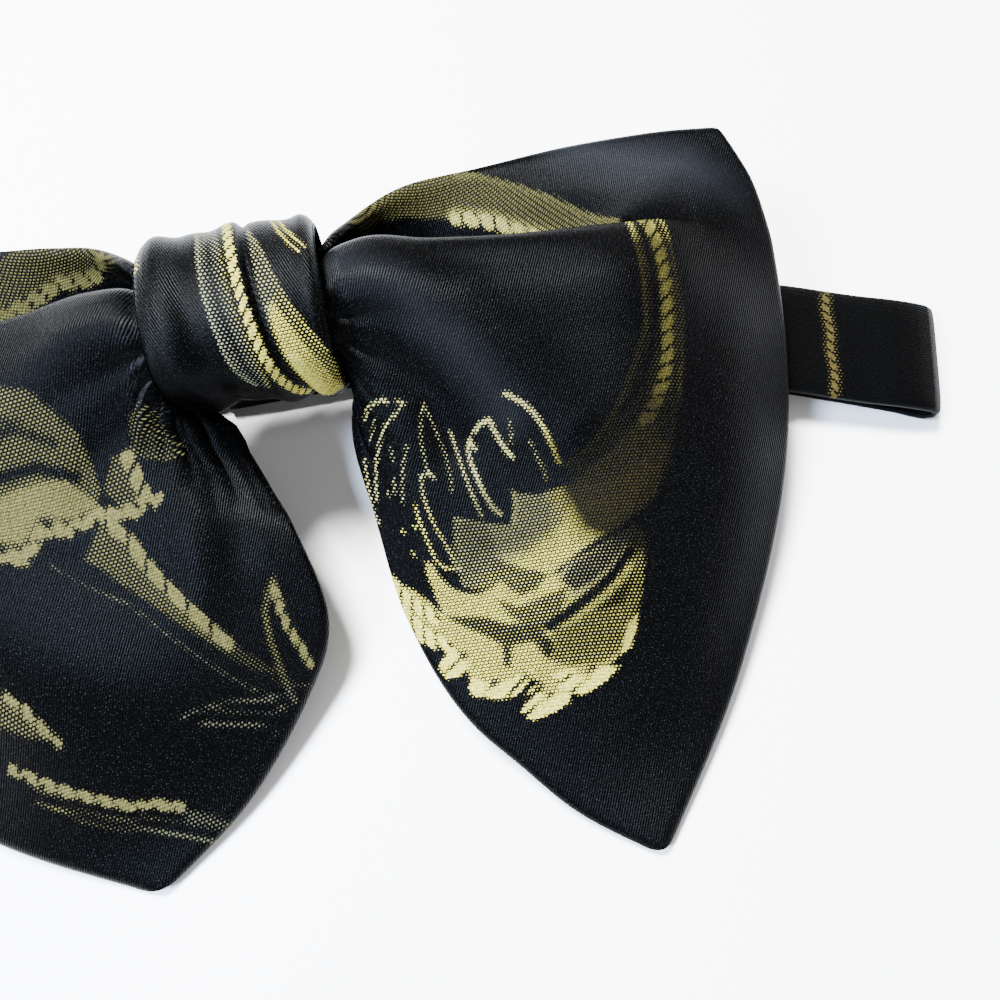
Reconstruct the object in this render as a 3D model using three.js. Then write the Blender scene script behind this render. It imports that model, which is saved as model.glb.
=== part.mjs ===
import * as THREE from 'three'
import { mergeVertices } from 'three/addons/utils/BufferGeometryUtils.js'

// Oversized butterfly bow tie lying face up on its flattened neck band.
// Millimetres. X runs along the bow, Y toward the top edges of the wings, Z up from the table.

// Driving dimensions
const CLOTH_WALL = 1.8
const KNOT_WALL = 1.8
const BAND_WIDTH = 20
const BAND_WALL = 1.6
const GAP = 0.3
const SHIFT = [-2.93, 25.82, 0]
const ALONG_STEPS = 3
const ACROSS_STEPS = 4

const SILK = { color: 0x0e0f12, roughness: 0.45, metalness: 0 }
const BAND_CLOTH = { color: 0x121316, roughness: 0.6, metalness: 0 }
const CLASP_FINISH = { color: 0x1a1b1d, roughness: 0.4, metalness: 0.2 }

// Where the named points of a rib lie across the cloth, in millimetres of the widest rib
const ACROSS = {
  top: 0, upper: 6, valley: 14, wall: 21, crest: 31, brow: 37, face: 48, belly: 68, lower: 90, edge: 115,
}

// Cloth ribs from the left outer edge to the right outer edge; "at" is the place along the wing
const RIBS = [
  { at: -82,
    top: [-79.5, 23, 25], upper: [-81.5, 17, 23.5], valley: [-82.6, 12.5, 22.4],
    wall: [-83.4, 7.5, 20.8], crest: [-83.8, 2.5, 18.8], brow: [-83.4, -4, 16.4],
    face: [-80.5, -16.5, 12.8], belly: [-69, -37.5, 9], lower: [-50, -54.5, 4.5], edge: [-27.4, -67.4, 0.9] },
  { at: -68,
    top: [-67.5, 24.6, 25.3], upper: [-69, 18.8, 24.6], valley: [-70, 13.2, 24.2],
    wall: [-70.3, 8.2, 23.8], crest: [-69.8, 3.2, 23.4], brow: [-68.6, -3, 22.4],
    face: [-64.5, -15, 20], belly: [-53, -33.5, 15.5], lower: [-35.5, -48.5, 10], edge: [-13.5, -57.5, 2.7] },
  { at: -56,
    top: [-55, 24.4, 25.8], upper: [-56, 18.2, 24.2], valley: [-57, 12, 21.8],
    wall: [-57.3, 7.8, 23.8], crest: [-57, 4.6, 28.8], brow: [-56.2, -1, 28.6],
    face: [-52.5, -12, 25.6], belly: [-42.5, -28, 20.5], lower: [-25.5, -41, 14.5], edge: [-3.7, -46.3, 5.8] },
  { at: -42,
    top: [-39, 22.8, 26.4], upper: [-40, 17, 23], valley: [-40.8, 9.6, 17.4],
    wall: [-40.8, 6.2, 21.5], crest: [-40.6, 4.4, 31.4], brow: [-40, -0.6, 31.2],
    face: [-37.5, -9.5, 28], belly: [-30.5, -22, 22.5], lower: [-17.5, -31.5, 17], edge: [0.8, -36, 10] },
  { at: -30,
    top: [-27, 20.5, 27.5], upper: [-27.8, 17, 22.8], valley: [-28.5, 9.6, 17],
    wall: [-28.5, 6.4, 22], crest: [-28.4, 5, 33], brow: [-28, 0.4, 33],
    face: [-26.5, -6.5, 30.5], belly: [-22, -15, 25.5], lower: [-13, -22, 20.5], edge: [-1.8, -25, 15.5] },
  { at: -20,
    top: [-19, 16.8, 29.2], upper: [-19.4, 15.4, 25.6], valley: [-19.6, 9.2, 20.6],
    wall: [-19.6, 6.1, 25.6], crest: [-19.6, 4.9, 34.6], brow: [-19.3, 0.8, 35],
    face: [-18.2, -4.6, 32.3], belly: [-16.2, -10.8, 27.5], lower: [-13, -14.6, 22.4], edge: [-7.4, -16.4, 17.4] },
  { at: -15.5,
    top: [-15, 12.2, 31.4], upper: [-15.2, 11.6, 28.6], valley: [-15.4, 7.2, 25],
    wall: [-15.4, 5.4, 27.6], crest: [-15.4, 4, 34.9], brow: [-15.3, 0.3, 35.4],
    face: [-15.1, -3.8, 33.2], belly: [-15, -7.8, 29.4], lower: [-14.9, -10.2, 25.4], edge: [-14.6, -10.6, 21.4] },
  { at: -12,
    top: [-12.8, 8.6, 31.7], upper: [-12.8, 8.6, 28.5], valley: [-12.8, 6.2, 24.7],
    wall: [-12.8, 4.6, 29.3], crest: [-12.8, 3.1, 34.7], brow: [-12.8, -0.2, 35.3],
    face: [-12.8, -3.2, 33.5], belly: [-12.8, -5.4, 30.5], lower: [-12.8, -5.8, 28.3], edge: [-12.8, -5.6, 26.2] },
  { at: 0,
    top: [-0.8, 8.6, 31.7], upper: [-0.8, 8.6, 28.5], valley: [-0.8, 6.2, 24.7],
    wall: [-0.8, 4.6, 29.3], crest: [-0.8, 3.1, 34.7], brow: [-0.8, -0.2, 35.3],
    face: [-0.8, -3.2, 33.5], belly: [-0.8, -5.4, 30.5], lower: [-0.8, -5.8, 28.3], edge: [-0.8, -5.4, 26.3] },
  { at: 12,
    top: [10.8, 8.8, 31.7], upper: [10.8, 8.6, 28.5], valley: [10.8, 6.2, 24.5],
    wall: [10.8, 4.6, 29.3], crest: [10.8, 3.1, 34.7], brow: [10.8, -0.2, 35.3],
    face: [10.8, -3.2, 33.5], belly: [10.8, -5.6, 30.5], lower: [10.8, -5.8, 28.3], edge: [10.8, -5.6, 26.2] },
  { at: 14.5,
    top: [12.6, 11.4, 31.4], upper: [12.7, 10.8, 28.8], valley: [12.9, 6.8, 25.2],
    wall: [12.9, 5.4, 27.6], crest: [12.8, 4.4, 34.9], brow: [12.8, 0.6, 35.4],
    face: [12.7, -3.2, 33.3], belly: [12.5, -7, 29.4], lower: [12.5, -9.3, 25.6], edge: [12.5, -9.8, 22.2] },
  { at: 18,
    top: [15.3, 14.8, 29.6], upper: [15.5, 14, 26.4], valley: [15.8, 8.8, 21.6],
    wall: [15.8, 6.4, 26], crest: [15.8, 5.6, 35], brow: [15.6, 1.4, 35.4],
    face: [15.2, -3, 33], belly: [14, -8.2, 28.4], lower: [12.4, -11, 24.2], edge: [11.2, -13, 20.6] },
  { at: 30,
    top: [24, 21.2, 27.3], upper: [24.8, 17.5, 22.6], valley: [25.5, 9.8, 17],
    wall: [25.5, 6.8, 22], crest: [25.5, 5.7, 33.3], brow: [25.3, 1, 33.4],
    face: [24.5, -5.5, 30.8], belly: [21.5, -14, 25], lower: [16.5, -20.5, 19.5], edge: [11, -25, 14.8] },
  { at: 42,
    top: [36, 23.3, 26], upper: [37, 17.5, 22.8], valley: [37.8, 9.8, 17.2],
    wall: [38, 6.4, 21.5], crest: [38, 5, 31.5], brow: [38, 0, 31.2],
    face: [37, -8, 27.8], belly: [32.5, -21, 21], lower: [24.5, -31.5, 15], edge: [12.2, -38.5, 10] },
  { at: 56,
    top: [50.5, 25, 25.4], upper: [51.5, 18.5, 24], valley: [52.5, 12, 21.5],
    wall: [53, 8, 23.5], crest: [53, 5.2, 28.6], brow: [52.8, 0, 28.6],
    face: [51.5, -10, 24.8], belly: [46, -27, 17.5], lower: [35.5, -43, 11.5], edge: [18.8, -55, 5.8] },
  { at: 62,
    top: [56.6, 25.2, 25.3], upper: [58, 19, 24.2], valley: [59, 13, 23],
    wall: [59.4, 8.8, 24.2], crest: [59.4, 5, 27.2], brow: [59.2, -0.6, 26.6],
    face: [58, -11.4, 22.6], belly: [52.2, -29.5, 15.3], lower: [41, -47.5, 9.2], edge: [23.8, -61, 4] },
  { at: 68,
    top: [63, 25.2, 25.2], upper: [64.5, 19.5, 24.6], valley: [65.5, 14, 24.3],
    wall: [66, 9, 24.2], crest: [66, 4.5, 24], brow: [66, -1, 23],
    face: [64.5, -12.5, 20], belly: [58.5, -32, 13], lower: [46.5, -52, 7], edge: [28.8, -67, 2.4] },
  { at: 82,
    top: [73.8, 24.1, 25.2], upper: [75.8, 18, 24], valley: [77, 13.5, 22.8],
    wall: [77.8, 8.5, 20.8], crest: [78.2, 3.5, 18.6], brow: [78, -2.5, 16],
    face: [76.6, -13, 12], belly: [70.5, -32, 7.8], lower: [58, -55, 3.4], edge: [40.9, -76.9, 0.9] },
]

// Knot: an oval sleeve round X, with its middle, its half sizes and the fullness of its corners
const KNOT = { y: 1.6, z: 28.5, halfY: 12.6, halfZ: 11.2, power: 2.15, sides: 40 }

// Rings along the knot, with the swell of each one
const KNOT_RINGS = [
  { x: -12.4, swell: 0.93 }, { x: -12.0, swell: 0.975 }, { x: -10.5, swell: 1.0 }, { x: -6, swell: 1.01 },
  { x: -1, swell: 1.01 }, { x: 4, swell: 1.01 }, { x: 8.8, swell: 1.0 }, { x: 10.3, swell: 0.975 },
  { x: 10.7, swell: 0.93 },
]

// Centre line of the neck band: the front run from the left bend, then the back run on the table.
// "curl" is the radius of the section where the knot gathers it, and 0 where it is flat.
const BAND_LINE = [
  { x: -99, y: 1, z: 5.8, heading: 0, curl: 0 }, { x: -80, y: 1, z: 7.4, heading: 0, curl: 0 },
  { x: -60, y: 1.2, z: 9.8, heading: 0, curl: 0 }, { x: -40, y: 1.4, z: 12, heading: 0, curl: 0 },
  { x: -26, y: 1.6, z: 13.5, heading: 0, curl: 90 }, { x: -19.2, y: 1.6, z: 14.8, heading: 0, curl: 40 },
  { x: -15.2, y: 1.4, z: 17, heading: 0, curl: 28 }, { x: -12.4, y: 1.6, z: 20.2, heading: 0, curl: 9.7 },
  { x: -6, y: 1.6, z: 20.25, heading: 0, curl: 9.5 }, { x: 0, y: 1.6, z: 20.25, heading: 0, curl: 9.5 },
  { x: 6, y: 1.6, z: 20.25, heading: 0, curl: 9.5 }, { x: 10.7, y: 1.6, z: 20.2, heading: 0, curl: 9.7 },
  { x: 13.4, y: 1.4, z: 17, heading: 0, curl: 28 }, { x: 17.2, y: 1.6, z: 14.8, heading: 0, curl: 40 },
  { x: 25, y: 1.5, z: 13.5, heading: 0, curl: 90 }, { x: 40, y: 1, z: 12, heading: -2, curl: 0 },
  { x: 60, y: -1, z: 9.8, heading: -5, curl: 0 }, { x: 80, y: -4.3, z: 7.4, heading: -11, curl: 0 },
  { x: 92, y: -7.8, z: 6.2, heading: -16, curl: 0 }, { x: 101, y: -10.6, z: 5.6, heading: -18, curl: 0 },
  { x: 104.2, y: -11.6, z: 4.6, heading: -18, curl: 0 }, { x: 105.4, y: -12, z: 3.2, heading: -18, curl: 0 },
  { x: 104.2, y: -11.6, z: 1.8, heading: -18, curl: 0 }, { x: 101, y: -10.2, z: 0.8, heading: -20, curl: 0 },
  { x: 92, y: -5.8, z: 0.8, heading: -24, curl: 0 }, { x: 80, y: -0.6, z: 0.8, heading: -20, curl: 0 },
  { x: 60, y: 5.6, z: 0.8, heading: -14, curl: 0 }, { x: 40, y: 9.8, z: 0.8, heading: -9, curl: 0 },
  { x: 24, y: 12, z: 1, heading: -4, curl: 0 }, { x: 14, y: 12.6, z: 2.3, heading: 0, curl: 0 },
  { x: 0, y: 12.6, z: 2.3, heading: 0, curl: 0 }, { x: -14, y: 12.6, z: 2.3, heading: 0, curl: 0 },
  { x: -24, y: 12.2, z: 1, heading: 3, curl: 0 }, { x: -40, y: 10.8, z: 0.8, heading: 6, curl: 0 },
  { x: -60, y: 8, z: 0.8, heading: 8, curl: 0 }, { x: -80, y: 4.6, z: 0.8, heading: 9, curl: 0 },
  { x: -99, y: 1.6, z: 0.8, heading: 6, curl: 0 }, { x: -101.6, y: 1.2, z: 1.7, heading: 2, curl: 0 },
  { x: -102.6, y: 1, z: 3.2, heading: 0, curl: 0 }, { x: -101.6, y: 1, z: 4.9, heading: 0, curl: 0 },
]

// Clasp: a flat sleeve round the back run of the neck band
const CLASP = { y: 12.6, length: 22, wallSide: 1.9, wallBottom: 1.2, wallTop: 1.1 }

// Value of a smooth curve through points placed at the given stations
function smoothAt(stations, values, t) {
  const last = stations.length - 1
  let i = 0
  while (i < last - 1 && t > stations[i + 1]) i += 1
  const slope = (k) => (values[k + 1] - values[k]) / (stations[k + 1] - stations[k])
  const tangent = (k) => {
    if (k === 0) return slope(0)
    if (k === last) return slope(last - 1)
    const before = stations[k] - stations[k - 1]
    const after = stations[k + 1] - stations[k]
    return (slope(k - 1) * after + slope(k) * before) / (before + after)
  }
  const h = stations[i + 1] - stations[i]
  const u = (t - stations[i]) / h
  const u2 = u * u
  const u3 = u2 * u
  return (2 * u3 - 3 * u2 + 1) * values[i] + (u3 - 2 * u2 + u) * h * tangent(i)
    + (3 * u2 - 2 * u3) * values[i + 1] + (u3 - u2) * h * tangent(i + 1)
}

// Stations with each interval divided into equal steps
function divided(stations, steps) {
  const out = []
  for (let i = 0; i < stations.length - 1; i += 1) {
    for (let s = 0; s < steps; s += 1) {
      out.push(stations[i] + (stations[i + 1] - stations[i]) * (s / steps))
    }
  }
  out.push(stations[stations.length - 1])
  return out
}

function meshOf(name, positions, indices, finish) {
  const raw = new THREE.BufferGeometry()
  raw.setAttribute('position', new THREE.Float32BufferAttribute(positions, 3))
  raw.setIndex(indices)
  const geometry = mergeVertices(raw, 1e-4)
  geometry.computeVertexNormals()
  const mesh = new THREE.Mesh(geometry, new THREE.MeshStandardMaterial(finish))
  mesh.name = name
  return mesh
}

// Mid surface of the wings as rows of points, one row per rib
function wingSurface() {
  const names = Object.keys(ACROSS)
  const acrossAt = names.map((name) => ACROSS[name])
  const alongAt = RIBS.map((rib) => rib.at)
  const alongFine = divided(alongAt, ALONG_STEPS)
  const acrossFine = divided(acrossAt, ACROSS_STEPS)
  return alongFine.map((s) => {
    const rib = names.map((name) => [0, 1, 2].map((axis) => smoothAt(alongAt, RIBS.map((r) => r[name][axis]), s)))
    return acrossFine.map((v) => {
      const [x, y, z] = [0, 1, 2].map((axis) => smoothAt(acrossAt, rib.map((p) => p[axis]), v))
      return new THREE.Vector3(x, y, z)
    })
  })
}

// Normals of a grid of points, from its neighbours on each side
function gridNormals(grid) {
  const rows = grid.length
  const columns = grid[0].length
  return grid.map((row, i) => row.map((point, j) => {
    const along = grid[Math.min(i + 1, rows - 1)][j].clone().sub(grid[Math.max(i - 1, 0)][j])
    const across = grid[i][Math.min(j + 1, columns - 1)].clone().sub(grid[i][Math.max(j - 1, 0)])
    return across.cross(along).normalize()
  }))
}

// Closed sheet of the given wall round a grid of points
function sheet(name, grid, wall, finish) {
  const normals = gridNormals(grid)
  const rows = grid.length
  const columns = grid[0].length
  const positions = []
  const indices = []
  for (const side of [0.5, -0.5]) {
    for (let i = 0; i < rows; i += 1) {
      for (let j = 0; j < columns; j += 1) {
        const p = grid[i][j].clone().addScaledVector(normals[i][j], side * wall)
        positions.push(p.x, p.y, p.z)
      }
    }
  }
  const at = (side, i, j) => side * rows * columns + i * columns + j
  const quad = (a, b, c, d) => indices.push(a, b, c, a, c, d)
  for (let i = 0; i < rows - 1; i += 1) {
    for (let j = 0; j < columns - 1; j += 1) {
      quad(at(0, i, j), at(0, i, j + 1), at(0, i + 1, j + 1), at(0, i + 1, j))
      quad(at(1, i, j), at(1, i + 1, j), at(1, i + 1, j + 1), at(1, i, j + 1))
    }
  }
  for (let i = 0; i < rows - 1; i += 1) {
    const j = columns - 1
    quad(at(0, i, 0), at(0, i + 1, 0), at(1, i + 1, 0), at(1, i, 0))
    quad(at(0, i + 1, j), at(0, i, j), at(1, i, j), at(1, i + 1, j))
  }
  for (let j = 0; j < columns - 1; j += 1) {
    const i = rows - 1
    quad(at(0, 0, j + 1), at(0, 0, j), at(1, 0, j), at(1, 0, j + 1))
    quad(at(0, i, j), at(0, i, j + 1), at(1, i, j + 1), at(1, i, j))
  }
  return meshOf(name, positions, indices, finish)
}

// Closed ring of sections: the last section joins the first one when loop is true
function skin(name, sections, finish, loop) {
  const sides = sections[0].length
  const count = sections.length
  const positions = []
  const indices = []
  for (const section of sections) {
    for (const p of section) positions.push(p.x, p.y, p.z)
  }
  const spans = loop ? count : count - 1
  for (let i = 0; i < spans; i += 1) {
    const next = (i + 1) % count
    for (let j = 0; j < sides; j += 1) {
      const k = (j + 1) % sides
      indices.push(i * sides + j, i * sides + k, next * sides + k)
      indices.push(i * sides + j, next * sides + k, next * sides + j)
    }
  }
  return meshOf(name, positions, indices, finish)
}

// Knot: rings round X, each with an outer and an inner surface joined at the ends
function knotBand() {
  const bulge = (value) => Math.sign(value) * Math.abs(value) ** (2 / KNOT.power)
  const ringAt = (x, swell, inset) => {
    const ring = []
    for (let i = 0; i < KNOT.sides; i += 1) {
      const turn = i / KNOT.sides * 2 * Math.PI
      const y = KNOT.y + (KNOT.halfY * swell - inset) * bulge(Math.cos(turn))
      const z = KNOT.z + (KNOT.halfZ * swell - inset) * bulge(Math.sin(turn))
      ring.push(new THREE.Vector3(x, y, z))
    }
    return ring
  }
  const outer = KNOT_RINGS.map((ring) => ringAt(ring.x, ring.swell, 0))
  const inner = KNOT_RINGS.map((ring) => ringAt(ring.x, 1, KNOT_WALL)).reverse()
  return skin('knot_band', [...outer, ...inner], SILK, true)
}

// Neck band: a flat section swept round its closed centre line
function neckBand() {
  const count = BAND_LINE.length
  const steps = [-1, -0.6, -0.2, 0.2, 0.6, 1]
  const sections = []
  for (let i = 0; i < count; i += 1) {
    const row = BAND_LINE[i]
    const before = BAND_LINE[(i + count - 1) % count]
    const after = BAND_LINE[(i + 1) % count]
    const turn = THREE.MathUtils.degToRad(row.heading)
    const lateral = new THREE.Vector3(-Math.sin(turn), Math.cos(turn), 0)
    const into = new THREE.Vector3(row.x - before.x, row.y - before.y, row.z - before.z).normalize()
    const out = new THREE.Vector3(after.x - row.x, after.y - row.y, after.z - row.z).normalize()
    const tangent = into.clone().add(out)
    const normal = tangent.cross(lateral).normalize()
    const middle = new THREE.Vector3(row.x, row.y, row.z)
    const corner = (across, through) => {
      const arc = across * BAND_WIDTH / 2
      const off = through * BAND_WALL / 2
      if (row.curl === 0) return middle.clone().addScaledVector(lateral, arc).addScaledVector(normal, off)
      const angle = arc / row.curl
      const radius = row.curl - off
      return middle.clone()
        .addScaledVector(lateral, radius * Math.sin(angle))
        .addScaledVector(normal, row.curl - radius * Math.cos(angle))
    }
    const under = steps.map((step) => corner(step, -1))
    const over = steps.map((step) => corner(-step, 1))
    sections.push([...under, ...over])
  }
  return skin('neck_band', sections, BAND_CLOTH, true)
}

// Clasp: outer and inner rectangles joined at both ends
function bandClasp() {
  const inside = BAND_WIDTH / 2 + GAP
  const outside = inside + CLASP.wallSide
  const slotLow = CLASP.wallBottom
  const slotHigh = CLASP.wallBottom + BAND_WALL + 2 * GAP
  const high = slotHigh + CLASP.wallTop
  const rectangle = (x, half, low, top) => [
    new THREE.Vector3(x, CLASP.y - half, low), new THREE.Vector3(x, CLASP.y + half, low),
    new THREE.Vector3(x, CLASP.y + half, top), new THREE.Vector3(x, CLASP.y - half, top),
  ]
  const end = CLASP.length / 2
  return skin('band_clasp', [
    rectangle(-end, outside, 0, high), rectangle(end, outside, 0, high),
    rectangle(end, inside, slotLow, slotHigh), rectangle(-end, inside, slotLow, slotHigh),
  ], CLASP_FINISH, true)
}

const bowTie = new THREE.Group()
bowTie.add(sheet('bow_wings', wingSurface(), CLOTH_WALL, SILK))
bowTie.add(knotBand())
bowTie.add(neckBand())
bowTie.add(bandClasp())
bowTie.position.set(...SHIFT)

export default bowTie
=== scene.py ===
import math

import bpy
import numpy as np
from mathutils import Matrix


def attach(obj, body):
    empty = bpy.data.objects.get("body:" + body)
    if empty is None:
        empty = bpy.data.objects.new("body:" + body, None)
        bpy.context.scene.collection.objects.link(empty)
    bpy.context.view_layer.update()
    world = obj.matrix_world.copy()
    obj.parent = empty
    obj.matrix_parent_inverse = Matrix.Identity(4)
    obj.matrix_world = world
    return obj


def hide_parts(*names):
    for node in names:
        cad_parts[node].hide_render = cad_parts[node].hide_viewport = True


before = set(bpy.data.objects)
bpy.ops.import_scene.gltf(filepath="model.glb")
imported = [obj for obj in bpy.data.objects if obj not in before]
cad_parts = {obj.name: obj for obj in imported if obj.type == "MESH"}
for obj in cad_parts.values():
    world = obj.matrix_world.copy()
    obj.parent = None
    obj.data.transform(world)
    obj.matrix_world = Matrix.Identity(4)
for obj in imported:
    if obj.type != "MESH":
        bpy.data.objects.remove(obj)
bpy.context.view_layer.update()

# Oversized butterfly bow tie lying face up on its flattened neck band.
# The tables are in millimetres of the bow: X along the bow, Y toward the top edges, Z up.

MM = 0.001
# From the place of the bow to its place in the frame
SHIFT = np.array([-2.93, 25.82, 0.0])
CLOTH_WALL = 1.8
KNOT_WALL = 1.8
BAND_WIDTH = 20.0
BAND_WALL = 1.6
GAP = 0.3


# ---------------------------------------------------------------- camera, floor and light

def place_camera():
    """Camera close above the bow, turned a little and leaning toward its lower edge."""
    bpy.ops.object.camera_add(location=(0.01634, -0.043246, 0.130234),
                              rotation=(math.radians(21), 0, math.radians(-12)))
    camera = bpy.context.object
    camera.name = "camera"
    camera.data.sensor_width = 36
    camera.data.lens = 31.18
    camera.data.clip_start = 0.005
    bpy.context.scene.camera = camera


def area_light(name, place, target, size, power, colour):
    """A soft square light that looks at a target."""
    bpy.ops.object.light_add(type="AREA", location=place)
    light = bpy.context.object
    light.name = name
    away = np.array(place) - np.array(target)
    light.rotation_euler = (math.atan2(math.hypot(away[0], away[1]), away[2]), 0,
                            math.atan2(away[0], -away[1]))
    light.data.size = size
    light.data.energy = power
    light.data.color = colour


def light_studio():
    """Even white surroundings, a soft main light above and a cooler one from the left."""
    world = bpy.data.worlds.new("studio")
    bpy.context.scene.world = world
    world.use_nodes = True
    air = world.node_tree.nodes["Background"]
    air.inputs["Color"].default_value = (1.0, 1.0, 1.0, 1)
    air.inputs["Strength"].default_value = 0.95
    area_light("window_light", (-0.15, 0.26, 0.66), (0, 0, 0.02), 0.19, 48, (1.0, 0.985, 0.96))
    area_light("side_light", (-0.30, -0.06, 0.42), (0, 0, 0.02), 0.13, 13, (0.58, 0.74, 1.0))


# ---------------------------------------------------------------- finishes

# Darkest and lightest colour of each kind of thread or surface
SHADES = dict(
    satin=((0.0001, 0.0001, 0.0001), (0.0006, 0.0006, 0.0008)),
    # The two gold colours below are one thread, with painted shade and with a painted highlight
    shaded_gold=((0.003, 0.0025, 0.0008), (0.013, 0.0105, 0.003)),
    lit_gold=((0.17, 0.148, 0.021), (0.48, 0.44, 0.085)),
    silver=((0.014, 0.016, 0.014), (0.17, 0.18, 0.14)),
    band=((0.0001, 0.0001, 0.0001), (0.0012, 0.0012, 0.0013)),
    band_gold=((0.013, 0.010, 0.003), (0.048, 0.038, 0.011)),
    clasp=((0.0008, 0.0008, 0.0009), (0.0024, 0.0024, 0.0026)),
    board=((0.86, 0.86, 0.87), (0.90, 0.90, 0.90)))
# Colour of the painted sheen on the black satin
PAINTED_SHEEN_COLOUR = (0.0068, 0.0078, 0.0098)
# Colour of the painted glints of single threads
PAINTED_GLINT = (0.011, 0.0115, 0.013)

# Width and height of a dot of gold weft in millimetres, and the softness of its edge
SATIN_DOT = (0.56, 0.43)
BAND_DOT = (0.62, 0.55)
DOT_EDGE = (-0.03, 0.07)
THREAD_HEIGHT = 0.00009

# Place of the gold stripe along the bow, the height above which the band shows it, and a
# place too far off to show any
STRIPE_PLACE = 87.6
UPPER_RUN = 4.8
NO_STRIPE = -200.0


class Strand:
    """An output of a node that can stand in a sum like a number."""

    def __init__(self, finish, socket):
        self.finish = finish
        self.socket = socket

    def sum(self, operation, *terms):
        inputs = dict(enumerate(terms))
        return self.finish.add("ShaderNodeMath", {"operation": operation}, inputs)

    def __add__(self, other):
        return self.sum("ADD", self, other)

    def __radd__(self, other):
        return self.sum("ADD", other, self)

    def __sub__(self, other):
        return self.sum("SUBTRACT", self, other)

    def __rsub__(self, other):
        return self.sum("SUBTRACT", other, self)

    def __mul__(self, other):
        return self.sum("MULTIPLY", self, other)

    def __rmul__(self, other):
        return self.sum("MULTIPLY", other, self)

    def __truediv__(self, other):
        return self.sum("DIVIDE", self, other)

    def __rtruediv__(self, other):
        return self.sum("DIVIDE", other, self)

    def __pow__(self, other):
        return self.sum("POWER", self, other)

    def __rpow__(self, other):
        return self.sum("POWER", other, self)

    def __abs__(self):
        return self.sum("ABSOLUTE", self)

    def floor(self):
        return self.sum("FLOOR", self)

    def fraction(self):
        return self.sum("FRACT", self)

    def sine(self):
        return self.sum("SINE", self)

    def most(self, other):
        return self.sum("MAXIMUM", self, other)

    def rise(self, low, high):
        """0 below low, 1 above high, and a soft step between them."""
        return self.finish.add("ShaderNodeMapRange", {"interpolation_type": "SMOOTHSTEP"},
                               {"Value": self, "From Min": low, "From Max": high})


class Finish:
    """A material made of nodes."""

    def __init__(self, name):
        self.material = bpy.data.materials.new(name)
        self.material.use_nodes = True
        self.tree = self.material.node_tree
        self.shader = self.tree.nodes["Principled BSDF"]

    def connect(self, socket, value):
        if isinstance(value, Strand):
            self.tree.links.new(value.socket, socket)
        else:
            socket.default_value = value

    def add(self, kind, settings, inputs, output=0):
        """A node of a kind, with its settings first and then its inputs; gives one output."""
        node = self.tree.nodes.new(kind)
        for key, value in settings.items():
            setattr(node, key, value)
        for key, value in inputs.items():
            self.connect(node.inputs[key], value)
        return Strand(self, node.outputs[output])

    def constant(self, **values):
        for key, value in values.items():
            self.shader.inputs[key.replace("_", " ")].default_value = value

    def drive(self, name, value):
        self.connect(self.shader.inputs[name], value)

    def reading(self, name):
        """A number that each point of the mesh carries."""
        return self.add("ShaderNodeAttribute", {"attribute_name": name}, {}, "Fac")

    def noise(self, place, scale, detail, roughness=0.5):
        inputs = {"Vector": place, "Scale": scale, "Detail": detail, "Roughness": roughness}
        return self.add("ShaderNodeTexNoise", {"noise_dimensions": "3D"}, inputs)

    def blend(self, factor, first, second):
        """A colour between two colours."""
        return self.add("ShaderNodeMix", {"data_type": "RGBA"},
                        {"Factor": factor, 6: first, 7: second}, 2)

    def shades(self, name, factor):
        """A colour between the darkest and the lightest of a kind."""
        return self.blend(factor, *(rgb(*colour) for colour in SHADES[name]))

    def bump(self, height, distance, strength):
        inputs = {"Height": height, "Distance": distance, "Strength": strength}
        return self.add("ShaderNodeBump", {}, inputs)

    def spread(self, across, along):
        return self.add("ShaderNodeCombineXYZ", {}, {"X": across, "Y": along})


def rgb(red, green, blue):
    return (red, green, blue, 1.0)


def weft_dots(u, v, dot):
    """Squared distance from the middle of a dot, in staggered rows of dots."""
    row = v / dot[1]
    shift = (row.floor() * 0.5).fraction()
    across = (u / dot[0] + shift).fraction() - 0.5
    along = row.fraction() - 0.5
    return (across * across + along * along) * 2.0


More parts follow.
